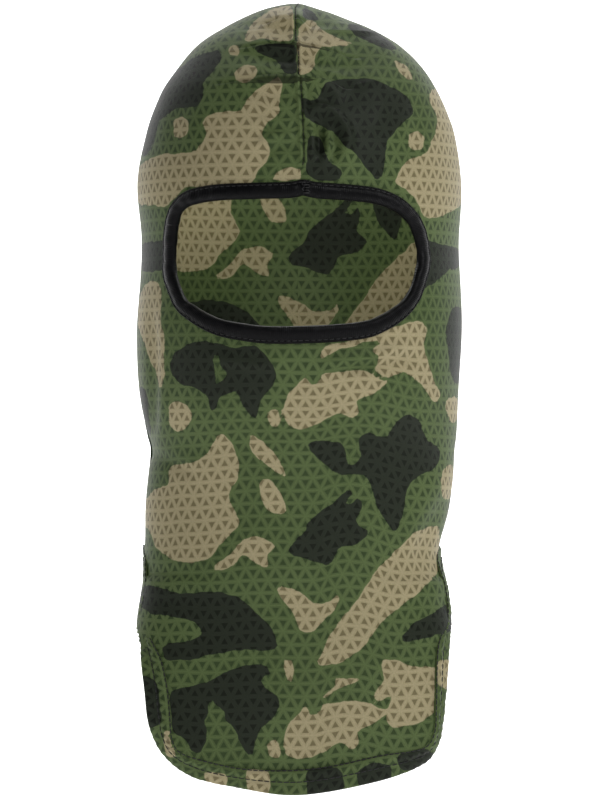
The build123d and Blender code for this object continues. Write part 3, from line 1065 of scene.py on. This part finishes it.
TAPE_LOOK = ribbed_tape()
THREAD_LOOK = grained("black sewing thread", linear(10, 10, 10), linear(20, 20, 21), 0.6, 2500.0)
ELASTIC_LOOK = grained("covered elastic", linear(26, 26, 27), linear(38, 38, 40), 0.7, 1800.0)
print("looks", [look.name for look in (CLOTH_LOOK, TAPE_LOOK, THREAD_LOOK, ELASTIC_LOOK)])

# %% [markdown]
# ## Making a piece
#
# Cloth and thread this regular is quicker to write as points and faces than to model from a
# primitive. Every piece here is made the same way: a mesh at the origin, its place on the
# cloth as a UV map, the print's fields as attributes, one material and its slot.

# %% One piece from points and faces
MM = 1000


def piece(name, points, faces, look, places=None, fields=None):
    """A mesh from points in millimetres, at the origin of the CAD model's frame."""
    mesh = bpy.data.meshes.new(name)
    mesh.from_pydata((np.asarray(points) / MM).tolist(), [], [list(map(int, f)) for f in faces])
    mesh.update()
    mesh.shade_smooth()
    if places is not None:
        layer = mesh.uv_layers.new(name="cloth")
        corners = np.zeros(len(mesh.loops), np.int32)
        mesh.loops.foreach_get("vertex_index", corners)
        flat = (np.asarray(places) / MM)[corners].astype(np.float32)
        layer.data.foreach_set("uv", flat.ravel())
    for key, values in (fields or {}).items():
        attribute = mesh.attributes.new(key, "FLOAT", "POINT")
        attribute.data.foreach_set("value", np.asarray(values, np.float32))
    mesh.materials.append(look)
    made = bpy.data.objects.new(name, mesh)
    bpy.context.scene.collection.objects.link(made)
    return made


def turn_outwards(made):
    """Recalculate the normals of a closed mesh, so that they point out."""
    bpy.ops.object.select_all(action="DESELECT")
    made.select_set(True)
    bpy.context.view_layer.objects.active = made
    bpy.ops.object.mode_set(mode="EDIT")
    bpy.ops.mesh.select_all(action="SELECT")
    bpy.ops.mesh.normals_make_consistent(inside=False)
    bpy.ops.object.mode_set(mode="OBJECT")


def run_of(line):
    """The length along a line, from its start to each of its points."""
    return np.concatenate([[0], np.cumsum(np.linalg.norm(np.diff(line, axis=0), axis=1))])


print("piece builder ready")

# %% [markdown]
# ## The cloth
#
# The cloth is kept where it isn't cut away for the eyes, and down to the hem. Its raw edges
# end inside the binding and the hem, as on the real one, so no edge of it is seen. A boolean
# could cut it, but a grid of this kind is easier to cut by leaving faces out. Solidify then
# gives the sheet its thickness.
#
# The print's place on the cloth is the length round and the length up. Across the folds at
# the crown those lengths would tear the lattice, so in the middle there the print is as it
# looks from the front.

# %% Two halves of cloth
CLOTH_THICK = 0.0007
CROWN = 80  # above this height the print was pulled out as the crown was formed
FRONTAL_FROM = 72.0  # the print's height starts to be the height itself here
binding_middle = (binding_outer + binding_inner) / 2


def print_places(points, around, rows, front):
    """Where each vertex lies on the printed cloth: length round from the middle, length up."""
    z, columns = points[..., 2], points.shape[1]
    steps = np.linalg.norm(np.diff(points, axis=0), axis=2)
    steps = np.minimum(steps, 1.7 * np.abs(np.diff(z, axis=0)) + 0.15)
    up = np.vstack([np.zeros(columns), np.cumsum(steps, axis=0)])
    low = np.array([height < CROWN for height, _, _ in rows])
    for c in range(columns):
        up[:, c] -= np.interp(0.0, z[low, c], up[low, c])
    across = around.copy()
    if front:
        side = np.where(around < 0, -around[:, :1], around[:, -1:])
        facing_us = smooth(0.85, 0.45, np.abs(around) / np.maximum(side, 0.1))
        for c in range(columns):
            as_height = z[:, c] + np.interp(FRONTAL_FROM, z[low, c], (up - z)[low, c])
            up[:, c] += (as_height - up[:, c]) * smooth(66, 80, z[:, c]) * facing_us[:, c]
        crown = smooth(90, 116, z) * facing_us
        return across * (1 - crown) + points[..., 0] * crown, up
    # behind, the length round runs on from the front half's sides
    half_way = columns // 2
    for r, (height, _, _) in enumerate(rows):
        right, left, deep, _, parted = (float(v) for v in level(height))
        to_right, to_left = (quarter(reach, parted, deep)[2][-1] for reach in (right, left))
        to_side = np.abs(around[r])
        across[r, :half_way] = -(to_right + to_side[0] - to_side[:half_way])
        across[r, half_way:] = to_left + to_side[-1] - to_side[half_way:]
    return across, up


def cloth_half(name, points, places, fields, keep, front):
    """One half of the worn cloth where keep says so, with a wall of real thickness."""
    rows, columns = keep.shape
    index = np.arange(rows * columns).reshape(rows, columns)
    faces = np.stack([index[:-1, :-1], index[:-1, 1:], index[1:, 1:], index[1:, :-1]], -1)
    faces = faces[keep[:-1, :-1] & keep[:-1, 1:] & keep[1:, 1:] & keep[1:, :-1]]
    if not front:
        faces = faces[:, ::-1]  # so that they point outwards there too
    used = np.unique(faces)
    renumber = np.zeros(rows * columns, int)
    renumber[used] = np.arange(len(used))
    places = np.stack([axis.ravel() for axis in places], 1)[used]
    fields = {key: values.ravel()[used] for key, values in fields.items()}
    flat = points.reshape(-1, 3)[used]
    made = piece(name, flat, renumber[faces], CLOTH_LOOK, places, fields)
    wall = made.modifiers.new("wall", "SOLIDIFY")
    wall.thickness = CLOTH_THICK
    wall.offset = -1.0
    wall.use_rim = False
    return made


UNDER_HEM = 0.3  # the cloth reaches this share of the hem's width
HEM_TOP, HEM_FACES_US = -183, -201  # between these heights the hem turns from side to front
BESIDE_HEM = 2.0


def kept(points, seam, edge, front):
    """Where the cloth isn't cut away."""
    x, z = points[..., 0], points[..., 2]
    under_hem = seam + (edge - seam) * UNDER_HEM
    keep = (z > HEM_TOP) | (inside(x, z, [under_hem[:, [0, 2]]]) > 0)
    # beside the shoulders the hem has turned away, and its edge is followed by depth
    for side in (-1, 1):
        line = edge[(edge[:, 0] * side > 0) & (edge[:, 2] > -220)]
        line = line[np.argsort(line[:, 2])]
        hem_depth = np.interp(z, line[:, 2], np.abs(line[:, 1]))
        behind = np.abs(points[..., 1]) > hem_depth + BESIDE_HEM
        keep |= (z > HEM_FACES_US) & (x * side > 0) & behind
    if front:
        keep &= inside(x, z, [binding_middle]) < 0
    return keep


front_cloth = cloth_half(
    "hood_front_cloth",
    front_points,
    print_places(front_points, front_around, front_rows, True),
    {"tan": front_tan, "dark": front_dark, "fold_shade": front_fold_shade},
    kept(front_points, front_seam_line, front_edge_line, True),
    True,
)
back_cloth = cloth_half(
    "hood_back_cloth",
    back_points,
    print_places(back_points, back_around, back_rows, False),
    {"tan": back_tan, "dark": back_dark, "fold_shade": back_fold_shade},
    kept(back_points, back_seam_line, back_edge_line, False),
    False,
)
print("cloth faces", len(front_cloth.data.polygons), len(back_cloth.data.polygons))

# %% [markdown]
# ## Bands and stitches
#
# A binding and a hem are both a strip folded over an edge. A curve with a bevel could make
# one, but its cross-section would turn as it liked. Here a cross-section is carried along the
# pair of lines, and it leans with the cloth. A stitch is a short rounded length of thread
# that dips into the cloth at each end, and a row repeats it with the same gap.

# %% Band and stitch builders
UNDERSIDE_APART = 20  # keeps the lattice of a band's underside off that of its face


def band(name, first, last, profile, look, closed, shape=None, shapes=None):
    """A strip between two lines, and the direction in which it faces all along. Profile gives
    share across and height, all round it. Shape may change the height."""
    count, size = len(first), len(profile)
    across, middle = last - first, (first + last) / 2
    if closed:
        along = np.roll(first + last, -1, 0) - np.roll(first + last, 1, 0)
    else:
        along = np.gradient(first + last, axis=0)
    n = np.cross(along, across)
    n /= np.maximum(np.linalg.norm(n, axis=1, keepdims=True), 1e-9)
    n[(n[:, 0] * middle[:, 0] + n[:, 1] * middle[:, 1]) < 0] *= -1
    width, run = np.linalg.norm(across, axis=1), run_of(middle)
    points, places = [], []
    for share, height in profile:
        lift = np.full(count, float(height))
        if shape is not None:
            lift = shape(share, lift, run, middle)
        points.append(first + across * share + n * lift[:, None])
        apart = UNDERSIDE_APART if height < 0 else 0
        places.append(np.stack([run, share * width + apart], 1))
    index = np.arange(size * count).reshape(size, count)
    faces = []
    for a in range(size):
        b = (a + 1) % size
        for c in range(count if closed else count - 1):
            d = (c + 1) % count
            faces.append((index[a, c], index[b, c], index[b, d], index[a, d]))
    if not closed:
        faces += [tuple(index[:, 0][::-1]), tuple(index[:, -1])]
    flat = np.concatenate(points)
    x, z = as_seen(flat)
    tan_shapes, dark_shapes = shapes or (TAN, DARK)
    fields = {"tan": inside(x, z, tan_shapes), "dark": inside(x, z, dark_shapes)}
    made = piece(name, flat, faces, look, np.concatenate(places), fields)
    turn_outwards(made)
    return made, n


# A stitch: share of its length, share of its radius, and how far it stands off the cloth
STITCH_RINGS = (
    (0.0, 0.35, -0.5), (0.12, 0.9, 0.1), (0.5, 1.0, 0.35), (0.88, 0.9, 0.1), (1.0, 0.35, -0.5),
)
STITCH_SIDES = 6


def stitches(name, line, n, length, gap, radius):
    """A row of stitches along a line, on cloth that faces in directions n."""
    run = run_of(line)

    def at(lines, here):
        return np.array([np.interp(here, run, lines[:, k]) for k in range(3)])

    points, faces = [], []
    start = gap
    turns = [2 * math.pi * s / STITCH_SIDES for s in range(STITCH_SIDES)]
    while start + length < run[-1]:
        base = len(points)
        for t, wide, lift in STITCH_RINGS:
            here = start + t * length
            centre, up = at(line, here), at(n, here)
            side = np.cross(at(line, here + 0.2) - centre, up)
            side /= max(np.linalg.norm(side), 1e-9)
            centre = centre + up * (lift * radius)
            for a in turns:
                points.append(centre + (side * math.cos(a) + up * math.sin(a)) * radius * wide)
        rings = np.arange(base, len(points)).reshape(-1, STITCH_SIDES)
        for low, high in zip(rings, rings[1:]):
            faces += zip(low, np.roll(low, -1), np.roll(high, -1), high)
        faces += [tuple(rings[0][::-1]), tuple(rings[-1])]
        start += length + gap
    made = piece(name, np.array(points), faces, THREAD_LOOK)
    turn_outwards(made)
    print(name, len(points) // rings.size, "stitches")
    return made


# %% [markdown]
# ## The binding
#
# A black tape is folded over the raw edge round the eyes, over a core of elastic. Its ends
# meet a little to the left of the middle, where they are drawn together and stitched across.
# A bevelled curve would give an even tube, so the band above is used, and a function of the
# place makes it swell and dip at the join.

# %% The eye binding, its core, its stitches and its join
JOIN_X = 4.0
# Share of the width and height, from the outer edge over the face and back underneath
BINDING_PROFILE = [
    (0.0, -0.3), (0.03, 0.9), (0.09, 1.55), (0.155, 1.55), (0.19, 1.3), (0.225, 1.65), (0.36, 2.2),
    (0.52, 2.45), (0.68, 2.45), (0.82, 2.15), (0.93, 1.45), (1.0, 0.1), (0.98, -1.2), (0.85, -2.2),
    (0.55, -2.4), (0.25, -2.1), (0.05, -1.4),
]
CORE_PROFILE = [(0.0, -0.6), (0.0, 0.6), (0.5, 0.9), (1.0, 0.6), (1.0, -0.6), (0.5, -0.9)]


def binding_height(share, lift, run, middle):
    """The tape's small waves, its swelling beside the join and the slit at it."""
    from_join, above = middle[:, 0] - JOIN_X, middle[:, 2] > 0
    swelling = np.exp(-((from_join / 2.2) ** 2)) * above
    slit = np.exp(-((from_join / 0.55) ** 2)) * above
    waves = 1 + 0.07 * np.sin(run * 0.33 + 1.2) + 0.05 * np.sin(run * 0.91)
    return lift * waves * (1 + 0.38 * swelling - 0.55 * slit)


tape_first, tape_last = on_front(binding_outer), on_front(binding_inner)
tape_across = tape_last - tape_first
binding, binding_up = band(
    "eye_binding",
    tape_first,
    tape_last,
    BINDING_PROFILE,
    TAPE_LOOK,
    closed=True,
    shape=binding_height,
)
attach(binding, "hood")
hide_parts("face_binding")

core_first, core_last = tape_first + tape_across * 0.62, tape_first + tape_across * 0.88
core, _ = band(
    "binding_core", core_first, core_last, CORE_PROFILE, ELASTIC_LOOK, closed=True
)
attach(core, "hood")
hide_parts("binding_elastic")

row = tape_first + tape_across * 0.19 + binding_up * 1.45
row = np.vstack([row, row[:1]])
row_up = np.vstack([binding_up, binding_up[:1]])
binding_row = stitches("binding_row_stitches", row, row_up, 2.2, 0.9, 0.26)
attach(binding_row, "hood")
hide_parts("binding_stitches")

# The thread of the join goes to and fro across it, six times
TACK_HALF, TACK_LIFT = 1.9, 2.9
tack_path = []
for k, height in enumerate(np.linspace(35.2, 42.0, 6)):
    right, left = (JOIN_X - TACK_HALF, height), (JOIN_X + TACK_HALF, height)
    across = on_front(seen([right, (JOIN_X, height + 0.1), left]), TACK_LIFT)
    across = np.vstack([across, across[-1:]])
    tack_path.append(across if k % 2 == 0 else across[::-1])
tack_path = np.vstack(tack_path)
tack_up = np.tile([0.0, -1.0, 0.1], (len(tack_path), 1))
join = stitches("binding_join_tack", tack_path, tack_up, 3.4, 0.3, 0.3)
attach(join, "hood")
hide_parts("binding_join_stitches")
print("binding is", round(float(run_of(tape_first)[-1])), "mm round")

# %% [markdown]
# ## The hems
#
# Each hem is one folded strip of the same cloth, from shoulder to shoulder. It is puffed along its
# seam and pulled in along its second row of stitches. Its cross-section has that dip, and slow
# waves along it stand for the pull of single stitches.

# %% Hems and their stitches
# Share of the width and height, from the seam over the face and back underneath
HEM_PROFILE = [
    (-0.03, 0.1), (0.0, 0.75), (0.05, 1.5), (0.12, 1.85), (0.22, 1.75), (0.33, 1.25), (0.41, 0.85),
    (0.45, 0.6), (0.49, 0.85), (0.58, 1.15), (0.72, 1.25), (0.86, 1.15), (0.96, 0.75), (1.0, 0.0),
    (0.96, -0.7),
    (0.8, -1.0), (0.45, -0.9), (0.15, -1.0), (0.0, -0.7),
]
SEAM_SHARE, TOPSTITCH_SHARE = -0.035, 0.45
SEAM_LIFT, TOPSTITCH_LIFT = 0.75, 0.72


def hem_height(share, lift, run, middle):
    """The pull of the stitches; over the shoulders the hem lies flatter."""
    quick, slow = np.sin(run * 1.7 + 3 * math.sin(share * 5)), np.sin(run * 0.53 + share * 2)
    pulled = 1 + 0.16 * quick + 0.12 * slow
    from_shoulder = np.minimum(run, run[-1] - run)
    return lift * pulled * (0.5 + 0.5 * smooth(4, 60, from_shoulder))


for side, seam, edge, cloth in (
    ("front", front_seam_line, front_edge_line, front_cloth),
    ("back", back_seam_line, back_edge_line, back_cloth),
):
    hem, hem_up = band(
        side + "_hem",
        seam,
        edge,
        HEM_PROFILE,
        CLOTH_LOOK,
        closed=False,
        shape=hem_height,
        shapes=(HEM_TAN, HEM_DARK),
    )
    seam_row = seam + (edge - seam) * SEAM_SHARE + hem_up * SEAM_LIFT
    top_row = seam + (edge - seam) * TOPSTITCH_SHARE + hem_up * TOPSTITCH_LIFT
    seam_thread = stitches(side + "_hem_seam_row", seam_row, hem_up, 2.5, 0.4, 0.32)
    top_thread = stitches(side + "_hem_topstitch_row", top_row, hem_up, 2.9, 0.4, 0.32)
    for made in (cloth, hem, seam_thread, top_thread):
        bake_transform(made)
    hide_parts(side + "_bib_hem")
    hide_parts(side + "_hem_seam_stitches")
    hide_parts(side + "_hem_topstitches")
# the front half and its hem also stand for the hood and for what runs over the shoulders
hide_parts("hood_cloth", "front_bib_cloth")
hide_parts("back_bib_cloth")
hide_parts("right_vent_hem", "left_vent_hem")
vent_stitches = ("right_vent_hem_stitches", "left_vent_hem_stitches")
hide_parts(*vent_stitches)
print("hems made")

# %% [markdown]
# ## The crown seam
#
# Black thread shows in the groove between the two edges of cloth. Inside, the edges are turned
# in and overlocked into a ridge. Both follow the same column of the cloth's grid, so that
# they stay in the groove where the folds cross it.

# %% Seam stitches and seam edges
SEAM_FRONT_END, SEAM_BACK_END = 44.0, 50.0
SEAM_CENTRE = (0.0, 0.0, 40.0)  # the seam's thread faces away from here
RIDGE_TOP, RIDGE_FOOT, RIDGE_HALF = 1.4, 6.4, 0.9
RIDGE_PRINT_SHIFT = 9


def seam_column(points, lowest):
    """The column of cloth just to the left of the groove, down to a height."""
    line = points[:, points.shape[1] // 2 + 1]
    return line[line[:, 2] > lowest]


front_line = seam_column(front_points, SEAM_FRONT_END)
back_line = seam_column(back_points, SEAM_BACK_END)[::-1]
seam_path = np.vstack([front_line[:-1], back_line[1:]])
seam_up = seam_path - np.array(SEAM_CENTRE)
seam_up[:, 0] = 0
seam_up /= np.linalg.norm(seam_up, axis=1, keepdims=True)
seam_thread = stitches("crown_seam_row", seam_path + seam_up * 0.15, seam_up, 2.1, 0.5, 0.24)
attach(seam_thread, "hood")
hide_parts("crown_seam_stitches")

ridge_points, ridge_places = [], []
for k, (place, up) in enumerate(zip(seam_path, seam_up)):
    top, foot = place - up * RIDGE_TOP, place - up * RIDGE_FOOT
    half, sway = np.array([RIDGE_HALF, 0, 0]), np.array([0.5 * math.sin(k * 0.9), 0, 0])
    ridge_points += [top - half, top + half, foot + half + sway, foot - half + sway]
    ridge_places += [(k * ROW_STEP, across) for across in (0, 1.8, 7, 8.8)]
corners = np.arange(len(ridge_points)).reshape(-1, 4)
ridge_faces = [tuple(corners[0][::-1]), tuple(corners[-1])]
for one, after in zip(corners, corners[1:]):
    ridge_faces += zip(one, np.roll(one, -1), np.roll(after, -1), after)
x, z = as_seen(np.array(ridge_points))
x = x + RIDGE_PRINT_SHIFT
ridge_fields = {"tan": inside(x, z, TAN), "dark": inside(x, z, DARK)}
ridge = piece(
    "crown_seam_ridge",
    ridge_points,
    ridge_faces,
    CLOTH_LOOK,
    ridge_places,
    ridge_fields,
)
turn_outwards(ridge)
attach(ridge, "hood")
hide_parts("crown_seam_edges")
print("seam is", round(float(run_of(seam_path)[-1])), "mm long")

# %% [markdown]
# ## What the soft pieces are
#
# The cloth is cut as one flat piece. Its front half and its back half are the soft pieces,
# stretched over the head; here their names are printed.

print("sheets", front_cloth.name, back_cloth.name)

# %% [markdown]
# ## The studio
#
# The mask stands free over a pale floor that curves up behind it, as in a studio with a paper
# roll. A broad soft light stands above and in front, with two weaker ones beside it, and one
# more lights the paper. A small lamp high inside the hood keeps the far wall readable through
# the eye opening, where the soft lights hardly reach.

# %% Floor and lights
FLOOR = -0.33
FLOOR_FRONT, FLOOR_CURVE, CURVE_RADIUS, PAPER_TOP, PAPER_HALF = -6.0, 2.2, 1.4, 6.0, 7.0
CURVE_STEPS = 12


def backdrop():
    """The floor and the wall behind, as one sheet with a round curve between them."""
    profile = [(FLOOR_FRONT, 0.0), (FLOOR_CURVE, 0.0)]
    for k in range(1, CURVE_STEPS + 1):
        a = math.pi / 2 * k / CURVE_STEPS
        profile.append((FLOOR_CURVE + CURVE_RADIUS * math.sin(a), CURVE_RADIUS * (1 - math.cos(a))))
    profile.append((FLOOR_CURVE + CURVE_RADIUS, PAPER_TOP))
    points = [(x, y, z + FLOOR) for y, z in profile for x in (-PAPER_HALF, PAPER_HALF)]
    faces = [(2 * k, 2 * k + 1, 2 * k + 3, 2 * k + 2) for k in range(len(profile) - 1)]
    mesh = bpy.data.meshes.new("backdrop")
    mesh.from_pydata(points, [], faces)
    mesh.update()
    mesh.shade_smooth()
    pale, white = (0.8, 0.8, 0.8, 1), (1, 1, 1, 1)
    paper = Graph("pale studio")
    mesh.materials.append(
        paper.surface(Base_Color=pale, Roughness=0.9, Emission_Color=white, Emission_Strength=0.6)
    )
    made = bpy.data.objects.new("backdrop", mesh)
    bpy.context.scene.collection.objects.link(made)


def soft_light(name, place, aim, size, power):
    """A rectangle of light at a place, aimed at another place."""
    data = bpy.data.lights.new(name, "AREA")
    data.shape = "RECTANGLE"
    data.size, data.size_y = size
    data.energy = power
    made = bpy.data.objects.new(name, data)
    made.location = place
    target = bpy.data.objects.new(name + "_aim", None)
    target.location = aim
    bpy.context.scene.collection.objects.link(made)
    bpy.context.scene.collection.objects.link(target)
    held = made.constraints.new("TRACK_TO")
    held.target = target
    held.track_axis, held.up_axis = "TRACK_NEGATIVE_Z", "UP_Y"


def small_lamp(name, place, radius, power):
    data = bpy.data.lights.new(name, "POINT")
    data.energy = power
    data.shadow_soft_size = radius
    made = bpy.data.objects.new(name, data)
    made.location = place
    bpy.context.scene.collection.objects.link(made)


backdrop()
soft_light("key", (1.05, -0.95, 1.25), (0, 0, 0), (0.5, 0.6), 18.5)
soft_light("fill", (-1.5, -0.9, 0.5), (0, 0, -0.05), (0.8, 1.2), 1.0)
soft_light("front", (0.15, -2.25, 0.2), (0, 0, 0), (0.5, 0.4), 4.2)
soft_light("backdrop light", (0, 1.2, 2.2), (0, 3.4, 0.6), (4.0, 1.0), 160.0)
small_lamp("inside", (0.0, -0.012, 0.078), 0.025, 0.33)
world = bpy.data.worlds.new("studio")
world.use_nodes = True
sky = world.node_tree.nodes["Background"]
sky.inputs["Color"].default_value = (1, 1, 1, 1)
sky.inputs["Strength"].default_value = 0.1
bpy.context.scene.world = world
print("lights", len(bpy.data.lights))

# %% [markdown]
# ## The camera
#
# A long lens from more than two metres away sees the mask almost without perspective. The
# camera stands level with the middle of the mask and looks straight ahead. The Standard view
# keeps black tape black, where a filmic one would lift it.

# %% Camera and view
camera_data = bpy.data.cameras.new("camera")
camera_data.lens = 200.0
camera_data.sensor_width = 36.0
camera = bpy.data.objects.new("camera", camera_data)
camera.location = (CAMERA_X / MM, -CAMERA_AWAY / MM, CAMERA_Z / MM)
camera.rotation_euler = (math.pi / 2, 0, 0)
bpy.context.scene.collection.objects.link(camera)
bpy.context.scene.camera = camera
bpy.context.scene.view_settings.view_transform = "Standard"
print("camera is", CAMERA_AWAY / MM, "m away")
